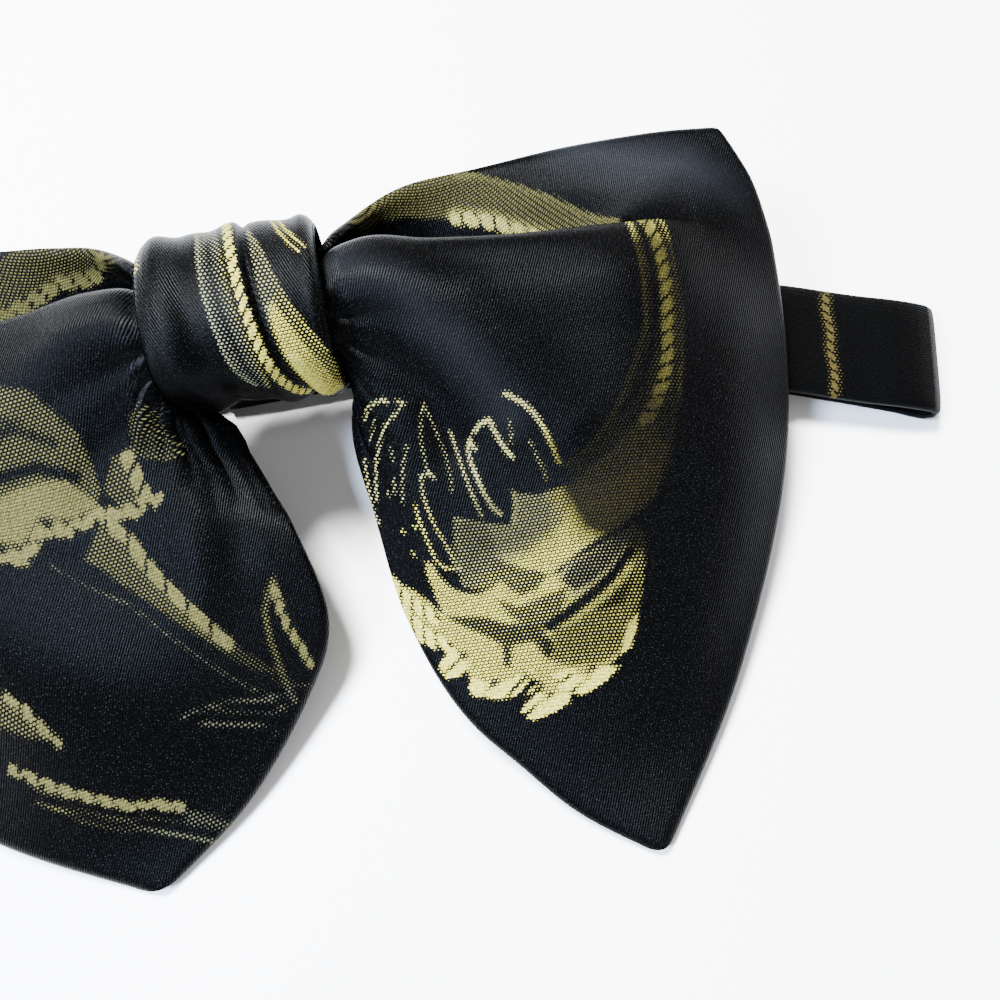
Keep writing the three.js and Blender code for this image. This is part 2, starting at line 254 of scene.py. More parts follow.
def satin_finish():
    """Black figured satin with its gold figure."""
    cloth = Finish("figured_satin")
    u, v = cloth.reading("cloth_u"), cloth.reading("cloth_v")
    place = cloth.spread(u, v)
    drift = cloth.noise(place, 0.09, 2.0)
    shade = cloth.noise(cloth.spread(u * 1.8, v * 3.6), 1.0, 3.0, 0.65)
    threads = ((u * 2.7 + v * 1.3) * math.tau).sine()

    # gold wefts come up through the satin as dots, larger where there is more gold
    middle = weft_dots(u, v, SATIN_DOT)
    wander = cloth.noise(place, 0.8, 2.0)
    gold = cloth.reading("gold") + (wander - 0.5) * 0.10
    size = gold.most(0.0) ** 2.0 * 0.98
    shows = (size - middle).rise(*DOT_EDGE) * gold.rise(0.10, 0.22)

    lustre = cloth.reading("lustre")
    # painted glints: scattered tiny spots of lighter colour for threads that catch the light
    painted_glints = cloth.noise(cloth.spread(u * 4.2, v * 5.6), 1.0, 1.0)
    satin = cloth.shades("satin", shade.rise(0.45, 0.80))
    # painted sheen: lighter satin colour where a highlight is painted
    satin = cloth.blend(cloth.reading("sheen") * (0.3 + shade), satin, rgb(*PAINTED_SHEEN_COLOUR))
    black = cloth.blend(painted_glints.rise(0.62, 0.74), satin, rgb(*PAINTED_GLINT))
    light = shade.rise(0.30, 0.70)
    # gold and silver thread between painted shade and painted highlight
    yellow = cloth.blend(lustre, cloth.shades("shaded_gold", light),
                         cloth.shades("lit_gold", light))
    silver = cloth.shades("silver", lustre * shade.rise(0.15, 0.70))
    metal = cloth.blend(cloth.reading("pale"), yellow, silver)
    cloth.drive("Base Color", cloth.blend(shows, black, metal))
    cloth.drive("Roughness", 0.27 + shade * 0.12 + drift * 0.08 + shows * 0.16)
    height = threads * 0.26 + shade * 0.9 + shows * (1.4 - middle * 1.5)
    cloth.drive("Normal", cloth.bump(height, THREAD_HEIGHT, 0.9))
    cloth.constant(Specular_IOR_Level=0.027, Specular_Tint=rgb(0.88, 0.94, 1.0))
    return cloth.material


def band_finish():
    """Black woven band with a broken gold stripe across it."""
    cloth = Finish("band_cloth")
    u, v = cloth.reading("cloth_u"), cloth.reading("cloth_v")
    shade = cloth.noise(cloth.spread(u * 1.8, v * 3.4), 1.0, 3.0, 0.65)
    ribs = (v * 2.3 * math.tau).sine()
    middle = weft_dots(u, v, BAND_DOT)
    sway = (v * 0.8).sine() * 0.15
    offset = cloth.reading("stripe") - STRIPE_PLACE - sway
    gaps = ((v + offset * 0.7) * 0.55 + 0.2).fraction()
    core = 1.0 - abs(offset).rise(0.35, 0.9)
    fringe = 1.0 - abs(offset).rise(0.9, 1.7)
    amount = (core * gaps.rise(0.20, 0.36) * 0.95).most(fringe * 0.40)
    shows = (amount ** 2.0 - middle).rise(*DOT_EDGE) * amount.rise(0.1, 0.2)
    black = cloth.shades("band", shade.rise(0.45, 0.80))
    gold = cloth.shades("band_gold", shade.rise(0.30, 0.70))
    cloth.drive("Base Color", cloth.blend(shows, black, gold))
    cloth.drive("Roughness", 0.42 + shade * 0.2)
    cloth.drive("Normal", cloth.bump(ribs * 0.5 + shade + shows, THREAD_HEIGHT, 0.8))
    cloth.constant(Specular_IOR_Level=0.030, Specular_Tint=rgb(0.90, 0.94, 1.0))
    return cloth.material


def clasp_finish():
    """Black moulded plastic with a fine grain and a slightly uneven tone."""
    plastic = Finish("clasp_finish")
    place = plastic.add("ShaderNodeTexCoord", {}, {}, "Object")
    grain = plastic.noise(place, 2400.0, 2.0)
    rub = plastic.noise(place, 160.0, 3.0)
    plastic.drive("Base Color", plastic.shades("clasp", rub.rise(0.45, 0.8)))
    plastic.drive("Roughness", 0.42 + rub * 0.2)
    plastic.drive("Normal", plastic.bump(grain, 0.00005, 0.6))
    plastic.constant(Specular_IOR_Level=0.03)
    return plastic.material


def floor_finish():
    """Plain white board."""
    board = Finish("board")
    place = board.add("ShaderNodeTexCoord", {}, {}, "Object")
    cloud = board.noise(place, 6.0, 2.0)
    board.drive("Base Color", board.shades("board", cloud))
    board.drive("Roughness", 0.55 + cloud * 0.1)
    return board.material


# ---------------------------------------------------------------- shapes

# Ends of the wings along the cloth, where it runs through the knot, its width, and how far
# across it the front begins
WING_END = 82
GATHERED = (-13, 12.5)
CLOTH_WIDTH = 115
FRONT_BEGINS = 24

# Size of the cloth's rounded corners and rim, and the lowest height of its middle
CORNER = 2.6
RIM = 1.5
LOWEST = 0.92

# Where the named points of a rib lie across the cloth, in millimetres of the widest rib
ACROSS = dict(top=0, upper=6, valley=14, wall=21, crest=31, brow=37, face=48, belly=68, lower=90,
              edge=CLOTH_WIDTH)

# Cloth ribs from the left outer edge to the right outer edge: the place along the wing,
# then the points in the order of ACROSS
RIBS = [
    (-82, [(-79.5, 23, 25), (-81.5, 17, 23.5), (-82.6, 12.5, 22.4), (-83.4, 7.5, 20.8),
     (-83.8, 2.5, 18.8), (-83.4, -4, 16.4), (-80.5, -16.5, 12.8), (-69, -37.5, 9),
     (-50, -54.5, 4.5), (-27.4, -67.4, 0.9)]),
    (-68, [(-67.5, 24.6, 25.3), (-69, 18.8, 24.6), (-70, 13.2, 24.2), (-70.3, 8.2, 23.8),
     (-69.8, 3.2, 23.4), (-68.6, -3, 22.4), (-64.5, -15, 20), (-53, -33.5, 15.5),
     (-35.5, -48.5, 10), (-13.5, -57.5, 2.7)]),
    (-56, [(-55, 24.4, 25.8), (-56, 18.2, 24.2), (-57, 12, 21.8), (-57.3, 7.8, 23.8),
     (-57, 4.6, 28.8), (-56.2, -1, 28.6), (-52.5, -12, 25.6), (-42.5, -28, 20.5),
     (-25.5, -41, 14.5), (-3.7, -46.3, 5.8)]),
    (-42, [(-39, 22.8, 26.4), (-40, 17, 23), (-40.8, 9.6, 17.4), (-40.8, 6.2, 21.5),
     (-40.6, 4.4, 31.4), (-40, -0.6, 31.2), (-37.5, -9.5, 28), (-30.5, -22, 22.5), (-17, -31.5, 17),
     (1.5, -36, 10)]),
    (-30, [(-27, 20.5, 27.5), (-27.8, 17, 22.8), (-28.5, 9.6, 17), (-28.5, 6.4, 22), (-28.4, 5, 33),
     (-28, 0.4, 33), (-26.5, -6.5, 30.5), (-22, -15, 25.5), (-12.6, -22, 20.5),
     (-0.4, -25, 15.5)]),
    (-20, [(-19, 16.8, 29.2), (-19.4, 15.4, 25.6), (-19.6, 9.2, 20.6), (-19.6, 6.1, 25.6),
     (-19.6, 4.9, 34.6), (-19.3, 0.8, 35), (-18.2, -4.6, 32.3), (-16.2, -10.8, 27.5),
     (-11.4, -15.4, 22), (-2.9, -18.4, 16.9)]),
    (-15.5, [(-15, 12.2, 31.4), (-15.2, 11.6, 28.6), (-15.4, 7.2, 25), (-15.4, 5.4, 27.6),
     (-15.4, 4, 34.9), (-15.3, 0.3, 35.4), (-15.1, -3.8, 33.2), (-15, -7.8, 29.4),
     (-12.8, -11, 24.4), (-4.9, -13.2, 18.7)]),
    (-13.6, [(-13.6, 10.2, 31.6), (-13.7, 10, 28.6), (-13.8, 6.7, 24.9), (-13.8, 5, 28.5),
     (-13.8, 3.5, 34.8), (-13.8, 0, 35.3), (-13.7, -3.4, 33.4), (-13.7, -6.4, 30.1),
     (-12.7, -9, 26), (-6.4, -9.4, 21.2)]),
    (-12, [(-12.8, 8.6, 31.7), (-12.8, 8.6, 28.5), (-12.8, 6.2, 24.7), (-12.8, 4.6, 29.3),
     (-12.8, 3.1, 34.7), (-12.8, -0.2, 35.3), (-12.8, -3.2, 33.5), (-12.8, -5.4, 30.5),
     (-12.8, -5.8, 28.3), (-12.8, -5.6, 26.2)]),
    (0, [(-0.8, 8.6, 31.7), (-0.8, 8.6, 28.5), (-0.8, 6.2, 24.7), (-0.8, 4.6, 29.3),
     (-0.8, 3.1, 34.7), (-0.8, -0.2, 35.3), (-0.8, -3.2, 33.5), (-0.8, -5.4, 30.5),
     (-0.8, -5.8, 28.3), (-0.8, -5.4, 26.3)]),
    (12, [(10.8, 8.8, 31.7), (10.8, 8.6, 28.5), (10.8, 6.2, 24.5), (10.8, 4.6, 29.3),
     (10.8, 3.1, 34.7), (10.8, -0.2, 35.3), (10.8, -3.2, 33.5), (10.8, -5.6, 30.5),
     (10.8, -5.8, 28.3), (10.8, -5.6, 26.2)]),
    (14.5, [(12.6, 11.4, 31.4), (12.7, 10.8, 28.8), (12.9, 6.8, 25.2), (12.9, 5.4, 27.6),
     (12.8, 4.4, 34.9), (12.8, 0.6, 35.4), (12.7, -3.2, 33.3), (12.5, -7, 29.4), (12.5, -9.3, 25.6),
     (12.5, -9.8, 22.2)]),
    (18, [(15.3, 14.8, 29.6), (15.5, 14, 26.4), (15.8, 8.8, 21.6), (15.8, 6.4, 26), (15.8, 5.6, 35),
     (15.6, 1.4, 35.4), (15.2, -3, 33), (14, -8.2, 28.4), (12.4, -11, 24.2), (11.2, -13, 20.6)]),
    (30, [(24, 21.2, 27.3), (24.8, 17.5, 22.6), (25.5, 9.8, 17), (25.5, 6.8, 22), (25.5, 5.7, 33.3),
     (25.3, 1, 33.4), (24.5, -5.5, 30.8), (21.5, -14, 25), (16.5, -20.5, 19.5), (11, -25, 14.8)]),
    (42, [(36, 23.3, 26), (37, 17.5, 22.8), (37.8, 9.8, 17.2), (38, 6.4, 21.5), (38, 5, 31.5),
     (38, 0, 31.2), (37, -8, 27.8), (32.5, -21, 21), (24.5, -31.5, 15), (12.2, -38.5, 10)]),
    (56, [(50.5, 25, 25.4), (51.5, 18.5, 24), (52.5, 12, 21.5), (53, 8, 23.5), (53, 5.2, 28.6),
     (52.8, 0, 28.6), (51.5, -10, 24.8), (46, -27, 17.5), (35.5, -43, 11.5), (18.8, -55, 5.8)]),
    (62, [(56.6, 25.2, 25.3), (58, 19, 24.2), (59, 13, 23), (59.4, 8.8, 24.2), (59.4, 5, 27.2),
     (59.2, -0.6, 26.6), (58, -11.4, 22.6), (52.2, -29.5, 15.3), (41, -47.5, 9.2),
     (23.8, -61, 4)]),
    (68, [(63, 25.2, 25.2), (64.5, 19.5, 24.6), (65.5, 14, 24.3), (66, 9, 24.2), (66, 4.5, 24),
     (66, -1, 23), (64.5, -12.5, 20), (58.5, -32, 13), (46.5, -52, 7), (28.8, -67, 2.4)]),
    (82, [(73.8, 24.1, 25.2), (75.8, 18, 24), (77, 13.5, 22.8), (77.8, 8.5, 20.8),
     (78.2, 3.5, 18.6), (78, -2.5, 16), (76.6, -13, 12), (70.5, -32, 7.8), (58, -55, 3.4),
     (40.9, -76.9, 0.9)]),
]

# Knot: an oval sleeve round X, with its middle, half sizes, fullness, the ends of its wrap and
# the radius that its lengths round the wrap are measured on
KNOT = dict(y=1.6, z=28.5, half_y=12.6, half_z=11.2, power=2.15, left=-12.4, right=10.7, wrap=12.0)

# The long crease of the knot: place round the wrap, and place along the bow
CREASE = [(-22, 6.4), (-16, 5), (-10, 3.2), (-4, 2.6), (2, 2), (8, 1.6), (20, 0.6)]

# How far the near lower edge of the knot is drawn up, round the wrap and along the bow
DRAWN_UP_ROUND = [(-36, 0), (-30, 0.7), (-26, 1), (-20, 0.75), (-12, 0)]
DRAWN_UP_ALONG = [(-12, 1.9), (-4, 2.7), (4, 1.7), (10.7, 0.7)]

# Centre line of the neck band: x, y, z, heading in degrees and the curl of its section
BAND_LINE = [
    (-99, 1, 5.8, 0, 0), (-80, 1, 7.4, 0, 0), (-60, 1.2, 9.8, 0, 0), (-40, 1.4, 12, 0, 0),
    (-26, 1.6, 13.5, 0, 90), (-19.2, 1.6, 14.8, 0, 40), (-15.2, 1.4, 17, 0, 28),
    (-12.4, 1.6, 20.2, 0, 9.7), (-6, 1.6, 20.25, 0, 9.5), (0, 1.6, 20.25, 0, 9.5),
    (6, 1.6, 20.25, 0, 9.5), (10.7, 1.6, 20.2, 0, 9.7), (13.4, 1.4, 17, 0, 28),
    (17.2, 1.6, 14.8, 0, 40), (25, 1.5, 13.5, 0, 90), (40, 1, 12, -2, 0), (60, -1, 9.8, -5, 0),
    (80, -4.5, 7.4, -11, 0), (92, -8.4, 6.2, -16, 0), (101, -11.3, 5.6, -18, 0),
    (104.2, -12.1, 4.6, -18, 0), (105.4, -12.3, 3.2, -18, 0), (104.2, -11.8, 1.8, -18, 0),
    (101, -9.6, 0.8, -19, 0), (92, -5.6, 0.8, -22, 0), (80, -0.6, 0.8, -21, 0),
    (60, 6.5, 0.8, -17, 0), (40, 11.9, 0.8, -12, 0), (24, 14.6, 1, -6, 0), (14, 15.2, 2.3, 0, 0),
    (0, 15.2, 2.3, 0, 0), (-14, 15.2, 2.3, 0, 0), (-24, 14.6, 1, 5, 0), (-40, 12.4, 0.8, 8, 0),
    (-60, 9, 0.8, 10, 0), (-80, 5.2, 0.8, 10, 0), (-99, 1.6, 0.8, 6, 0), (-101.6, 1.2, 1.7, 2, 0),
    (-102.6, 1, 3.2, 0, 0), (-101.6, 1, 4.9, 0, 0),
]

# Clasp: a flat sleeve round the back run of the neck band
CLASP = dict(y=15.2, length=22.0, wall_side=1.9, wall_near=0.3, wall_bottom=1.2, wall_top=1.1,
             corner=0.22)


def ramp(place, start, stop):
    """0 at the start and 1 at the stop, straight between them and level beyond."""
    return np.clip((place - start) / (stop - start), 0, 1)


def hump(place, middle, half):
    """1 at the middle, and falling away smoothly on both sides."""
    return np.exp(-((place - middle) / half) ** 2)


def squared_off(value, power):
    """A sine or cosine that a power below 1 draws out toward a square."""
    return np.sign(value) * np.abs(value) ** power


def read_off(place, table):
    """Straight lines between the pairs of a table."""
    return np.interp(place, *zip(*table))


def smooth_at(stations, values, where):
    """Values of a smooth curve through points at the given stations, one for each place."""
    stations = np.asarray(stations, float)
    values = np.asarray(values, float)
    gaps = np.diff(stations)
    shape = (-1,) + (1,) * (values.ndim - 1)
    slopes = np.diff(values, axis=0) / gaps.reshape(shape)
    inner = ((slopes[:-1] * gaps[1:].reshape(shape) + slopes[1:] * gaps[:-1].reshape(shape))
             / (gaps[:-1] + gaps[1:]).reshape(shape))
    tangents = np.concatenate([slopes[:1], inner, slopes[-1:]])
    i = np.clip(np.searchsorted(stations, where, side="left") - 1, 0, len(stations) - 2)
    h = gaps[i]
    t = (where - stations[i]) / h
    if values.ndim == 3 and values.shape[1] == len(where):
        rows = np.arange(len(where))
        first, second = values[i, rows], values[i + 1, rows]
        leave, reach = tangents[i, rows], tangents[i + 1, rows]
    else:
        first, second, leave, reach = values[i], values[i + 1], tangents[i], tangents[i + 1]
    wide = (-1,) + (1,) * (first.ndim - 1)
    t, h = t.reshape(wide), h.reshape(wide)
    t2, t3 = t * t, t * t * t
    return ((2 * t3 - 3 * t2 + 1) * first + (t3 - 2 * t2 + t) * h * leave
            + (3 * t2 - 2 * t3) * second + (t3 - t2) * h * reach)


def cloth_point(along, across):
    """Mid surface of the wings at places along and across the cloth."""
    ribs = np.array([rib for _, rib in RIBS], float)
    lines = smooth_at([at for at, _ in RIBS], ribs, along)
    return smooth_at(list(ACROSS.values()), np.swapaxes(lines, 0, 1), across)


# ---------------------------------------------------------------- gold figure

# Shapes are drawn in order, in millimetres of the bow seen from above. A patch is a filled
# outline, a line is a stroke of some width, and a chain is a stroke of a width and a pitch
# that leaning cuts part into beads. The first number is how much gold thread shows there:
# 1 is solid, about 0.5 is an even mesh of dots, and 0 is bare black satin.
CHAIN_LEAN = 0.9

WING_FRONT = [
    # mesh of the plume, from the nose of the fold round to its lower edge
    ("patch", 0.34, [(53.2, 7), (53, 0), (52.3, -8), (50, -12.5), (47.5, -16.5), (44, -20.5),
     (40.5, -23.4), (37.4, -24), (40, -28), (47, -32), (52.5, -27), (54.6, -22), (56.8, -15),
     (58.3, -8), (58.8, 0), (59.3, 7)]),
    ("patch", 0.52, [(50.5, -19), (47, -22), (42, -24.8), (38, -26.5), (33.5, -27), (30.3, -26),
     (29.3, -30), (25.3, -28.8), (21.3, -27.2), (20.6, -31), (21, -36.5), (27, -37), (36, -36),
     (44, -33.5), (50, -30), (53, -24)]),
    ("patch", 0.44, [(21.5, -28), (25.6, -29.2), (27, -34), (30, -38), (26, -37.4), (22.5, -37.4),
     (20.6, -36), (20.6, -31)]),
    ("patch", 0.6, [(26, -33.4), (31, -34), (36, -31.5), (38.6, -27.4), (44, -27.2), (50, -24.4),
     (50, -27), (46.5, -31), (41, -34), (36, -36.5), (33, -38), (29, -35.6)]),
    # bright body of the plume
    ("patch", 0.62, [(10.4, -30), (11.2, -31.5), (13, -34), (14.5, -35.2), (16.3, -37.2),
     (17.3, -38.8), (16.7, -36), (16.2, -33.4), (16.5, -32), (17.6, -32.4), (18.2, -34.2),
     (19.5, -36), (21, -37), (22.6, -37.7), (25, -37.3), (27, -36.6), (30, -38), (34.6, -37.5),
     (36, -36.6), (41, -35), (45.5, -33.6), (47.4, -35), (46.6, -37.4), (45.9, -40), (44.9, -43),
     (43.8, -45.5), (43, -47.5), (41.8, -49), (40, -50), (36, -52), (33, -53), (30, -54),
     (27.6, -53), (28, -50.6), (25.8, -50.4), (23.8, -50.6), (21.5, -50), (19.6, -49), (18.6, -46),
     (17, -44), (15, -42), (13.2, -40.4), (11, -36.5)]),
    # worn meshes inside the bright body
    ("patch", 0.4, [(26.3, -34.6), (29, -35.8), (32.5, -37.4), (31, -39), (28.6, -39.4),
     (27.2, -38), (26.2, -36.4)]),
    ("patch", 0.4, [(25.4, -39.2), (28, -40.8), (31.5, -40.2), (35, -39.6), (34, -42),
     (30.5, -44.4), (28, -43), (26.5, -41.4)]),
    ("patch", 0.32, [(18.2, -39.8), (21, -40.4), (23.6, -41.2), (25.8, -42.6), (30.5, -43.4),
     (30.8, -45), (31.8, -46.8), (30.2, -47.6), (29, -45.4), (26, -45.4), (25, -47.8), (24.8, -45),
     (22.4, -43), (20, -41.4)]),
    ("patch", 0.32, [(34.4, -38.6), (36.5, -36.8), (40, -35.6), (45, -33.8), (44, -36), (41.5, -38),
     (38.5, -39.6), (36, -40.4)]),
    ("patch", 0.28, [(34.4, -44.8), (37.2, -43.7), (40.2, -42.2), (43, -40.4), (46.4, -37),
     (45, -41.4), (41, -45.2), (37.6, -46.4)]),
    ("patch", 0.42, [(43, -34.4), (46, -33), (47.5, -35), (46.2, -38.8), (44.6, -43.4), (42.6, -47),
     (42.4, -43), (44.4, -39.4), (44.6, -36.8)]),
    ("patch", 0.46, [(32, -44.4), (34.4, -44.6), (38, -43.4), (43.5, -43), (42.2, -48.4), (38, -50),
     (33.5, -49.6), (31, -48.4)]),
    # dark veins
    ("line", 0.05, 1.1, [(31.6, -44), (34, -43.1), (36.5, -42), (39, -40.8), (41.5, -39.3),
     (44.6, -36.6)]),
    ("line", 0.2, 0.5, [(24.9, -47.8), (25.2, -45.6)]),
    ("line", 0.1, 0.6, [(30.6, -47.6), (31, -45.8)]),
    # solid fringe along the lower edge, its threads cut by short dark furrows
    ("chain", 1.1, 1.2, 2, [(10.9, -32.6), (12.4, -35.2), (14.2, -37.4), (16.4, -39.4)]),
    ("chain", 1.1, 1.3, 2.2, [(11.3, -36.4), (12.8, -38.8), (14.8, -41.4), (17.4, -43.6)]),
    ("chain", 1.1, 1.1, 1.9, [(12.4, -40), (14.2, -42), (16, -43.2)]),
    ("patch", 1.1, [(17.8, -44), (16.2, -45), (15.4, -46.2), (16.2, -47.7), (18.3, -47.8),
     (19.4, -46.4)]),
    ("patch", 1.1, [(19, -49.4), (19.2, -50.6), (21.5, -51.5), (23.8, -52.1), (25.8, -51.7),
     (27.6, -50.4), (27.9, -49.2), (25.4, -49.8), (22.8, -50.2), (21, -49.2), (19.8, -48.4)]),
    ("patch", 1.1, [(25.8, -53), (25.5, -54.3), (26.6, -55.5), (28, -55.4), (30.5, -54.9),
     (32.2, -54.2), (32.9, -53.2), (31, -52.8), (28.6, -52.6), (27.8, -50.9), (26.6, -51.8)]),
    ("patch", 1.1, [(31.2, -50.2), (31.4, -52), (33.4, -53.2), (34.2, -53.7), (36, -53.2),
     (38.2, -52.3), (40.2, -50.9), (37.6, -50.6), (34.4, -51.4), (33.6, -50)]),
    ("patch", 1.1, [(40.8, -49.2), (42.2, -48.8), (43.2, -47), (43.9, -45), (42.4, -46)]),
    ("line", 0.1, 0.45, [(15.6, -46.9), (17.4, -46.2), (19.2, -45)]),
    ("line", 0.1, 0.45, [(20.6, -51.4), (21.6, -50.4), (23, -49.6)]),
    ("line", 0.1, 0.45, [(23.6, -52.2), (25.2, -50.8), (27.6, -49.6)]),
    ("line", 0.1, 0.45, [(26, -54.6), (28.4, -53.4), (30, -52.6)]),
    ("line", 0.1, 0.45, [(26.4, -52.9), (28, -52), (28.8, -51)]),
    ("line", 0.1, 0.45, [(31.4, -51.4), (33.6, -50.6)]),
    ("line", 0.1, 0.45, [(33.2, -52.8), (35.4, -51.6), (36.6, -50.4)]),
    ("line", 0, 0.9, [(25.4, -53.4), (26.3, -51.8), (27.7, -50.6)]),
    # bare leaf beside the knot
    ("patch", 0, [(11, -24), (12.6, -22), (16.6, -24.5), (17, -30), (16.2, -33.4), (16.7, -36),
     (16.4, -36.8), (14.4, -34.6), (12.6, -32.6), (11, -30.4)]),
    # outlines of the small petals
    ("line", 0.75, 0.56, [(12.6, -13.2), (13.5, -12.3), (15.2, -12), (15.8, -12.5)]),
    ("line", 0.75, 0.5, [(16.9, -12.6), (17.8, -13), (16.4, -14.1), (15, -14.9), (13.8, -16.5),
     (12.9, -18.5), (12.2, -20.6), (11.9, -22.8)]),
    ("line", 0.6, 0.42, [(14, -13.8), (13.2, -14.8), (12.7, -15.8)]),
    ("line", 0.65, 0.5, [(11.4, -17.6), (11.1, -21), (11.1, -24), (11.6, -25.8)]),
    ("line", 0.65, 0.43, [(17.2, -17.8), (16.8, -19), (16.2, -20), (15.9, -21.2), (15.6, -22.3),
     (15.3, -24.2)]),
    ("line", 0.6, 0.42, [(15.2, -17.6), (15.1, -19.2)]),
    ("line", 0.65, 0.43, [(14.7, -21.2), (14.5, -22.8)]),
    ("line", 0.7, 0.43, [(13.6, -22.2), (13.6, -22.8)]),
    ("line", 0.63, 0.42, [(19.2, -21.2), (19, -18.5), (19.1, -16.8), (19.6, -14.9), (20.3, -13.2),
     (20.8, -15), (21.4, -17.5), (21.9, -20), (22.1, -22.8), (21.9, -24.4)]),
    ("line", 0.75, 0.56, [(18.2, -21.7), (19.4, -21.5), (19.9, -22.3)]),
    ("line", 0.75, 0.5, [(18.2, -21.8), (18, -23.5), (18.2, -25.5), (18.6, -27.5), (19.2, -29.3),
     (19.8, -31), (20.4, -33.2)]),
    ("line", 0.75, 0.5, [(16.8, -25), (16.9, -26.8), (17.3, -28.8), (17.6, -30.5), (18, -32.2),
     (19, -33.6), (20.8, -34)]),
    ("line", 0.8, 0.56, [(14.4, -27.6), (14.6, -27.7)]),
    ("line", 0.8, 0.56, [(16.1, -27.5), (16.3, -27.6)]),
    ("line", 0.8, 0.5, [(15.2, -30.5), (15.4, -31)]),
    ("line", 0.8, 0.56, [(23.3, -16.9), (23.5, -18.5), (23.8, -20.5), (24.1, -22.5), (24.5, -24.5),
     (24.9, -26.3), (25.4, -28.2)]),
    ("line", 0.83, 0.74, [(25.9, -18.4), (25.4, -19.8), (25.4, -21.5), (25.8, -23.5), (26.3, -25.5),
     (27, -27.3), (28, -28.5)]),
    ("line", 0.8, 0.56, [(25.9, -18.4), (26.5, -19.8)]),
    ("line", 0.83, 0.74, [(26.7, -17.7), (27.7, -17), (28.8, -16.8), (29.2, -18), (29.7, -19.5),
     (30.3, -20.8), (31, -21.8)]),
    ("line", 0.65, 0.43, [(31.2, -20.2), (31.5, -18.2), (31.4, -17.2)]),
    ("line", 0.83, 0.74, [(31.5, -14.3), (32.6, -15), (33.8, -15.9), (35, -17.2), (35.9, -18.9),
     (36.6, -20.8), (37.3, -23.6)]),
    ("line", 0.65, 0.42, [(33.8, -20.4), (34.3, -22), (34.8, -23.6), (35.1, -25.4)]),
    ("line", 0.75, 0.56, [(30.2, -25.8), (30.2, -27.6), (29.4, -29.8)]),
    # dotted rim and gold beads from the nose of the fold
    ("line", 0.66, 0.6, [(54.2, 6.5), (53.7, 2), (53.4, -2), (52.8, -6), (52.3, -9)]),
    ("line", 0.56, 0.5, [(52.3, -9), (50.4, -12.5), (47.8, -16.4), (44.4, -20.2), (41, -22.8),
     (38, -24)]),
    ("line", 0.56, 0.6, [(59, 6.5), (58.9, 0), (58.3, -8), (57.2, -13), (55.8, -18)]),
    ("line", 0.1, 0.7, [(55.2, 7), (55.2, 0), (54.6, -6), (53.2, -11), (50.4, -15.6), (47, -19)]),
    ("chain", 1.1, 1.6, 2.2, [(56.4, 7), (56.9, 2), (56.7, -3), (56, -8), (55.2, -12),
     (53.8, -15.6), (52, -18.4), (50.2, -20.4)]),
    # left wing: tongues, long leaf and its dotted line
    ("patch", 0.46, [(-18.8, -13), (-18, -16), (-17.4, -18.4), (-18, -20.2), (-20.8, -20.6),
     (-23, -17), (-21, -13)]),
    ("chain", 1.1, 1.7, 2.6, [(-18.9, -13.6), (-18.4, -16.4), (-17.8, -18.8), (-19.6, -20.2),
     (-22.6, -20)]),
    ("patch", 1.1, [(-17.2, -18.8), (-15.7, -18.2), (-15.8, -19.4), (-17.2, -20.3)]),
    ("patch", 0.36, [(-17.6, -9), (-15.4, -8), (-13.8, -9), (-13.6, -11.4), (-12.4, -13.3),
     (-14, -14.3), (-17, -13.8), (-18.2, -12.6)]),
    ("line", 0.6, 0.5, [(-18.4, -12.8), (-17, -13.8), (-14.6, -14.4), (-12.8, -13.8)]),
    ("patch", 0.5, [(-24, -20.5), (-21.2, -22.6), (-20, -24), (-19, -26.5), (-17.5, -28.8),
     (-16, -31.2), (-14, -34), (-12.5, -36.3), (-10.4, -38.4), (-11, -40), (-12.5, -39),
     (-15, -36.7), (-17.5, -34.4), (-20, -32), (-22.6, -29.4), (-27, -25)]),
    ("chain", 1.1, 1.5, 3.6, [(-27, -16.5), (-24, -19.6), (-21, -23.4), (-19.7, -26.4),
     (-18.2, -29), (-16.5, -31.4), (-14.6, -34), (-12.8, -36.6), (-11.6, -37.8)]),
    ("patch", 0.34, [(-11.6, -37.8), (-9, -39.6), (-6.8, -41.6), (-7.4, -42.4), (-9.6, -41.4),
     (-12.2, -39.8)]),
    ("line", 0.64, 0.45, [(-31, -25), (-27, -28.2), (-22.6, -31.5), (-21.5, -32.7), (-19.7, -34.8),
     (-17.8, -36.8), (-15.2, -39.5), (-13, -41.5), (-10.5, -43.5), (-8, -44.8), (-6.5, -45.3)]),
    # small upright leaf, lying leaf and the lower band
    ("line", 0.5, 1.1, [(-4.5, -30.4), (-5.6, -32), (-6.6, -34.5), (-6.7, -38), (-6.3, -41),
     (-5.9, -44), (-5.4, -46)]),
    ("chain", 1.1, 1.3, 2, [(-4.6, -32), (-4.5, -35), (-3.8, -37.5), (-2.8, -39.8),
     (-2.4, -41.6)]),
    ("line", 0.42, 0.7, [(-7.5, -43), (-5, -43.6), (-2.4, -44.6)]),
    ("line", 0.6, 0.6, [(-19.9, -45.8), (-18, -45.1), (-14.5, -44.7), (-11, -44.9), (-8, -45.6),
     (-6.4, -47)]),
    ("line", 0.42, 0.5, [(-16.5, -45.8), (-13, -46), (-9.5, -46.6), (-7.6, -47.2)]),
    ("line", 0.6, 0.6, [(-17.6, -46.8), (-15, -47.2), (-12, -47.8), (-10, -48.5), (-8.5, -49.3)]),
    ("chain", 1.1, 1.4, 2.4, [(-42, -47.6), (-36, -51.6), (-29, -55), (-26, -55.4), (-23.6, -56.2),
     (-22.6, -56.7)]),
    ("patch", 0.46, [(-22.4, -56.8), (-20, -57.7), (-18, -58.8), (-16.4, -59.6), (-17.4, -60.8),
     (-20, -59.6), (-22.5, -58.2)]),
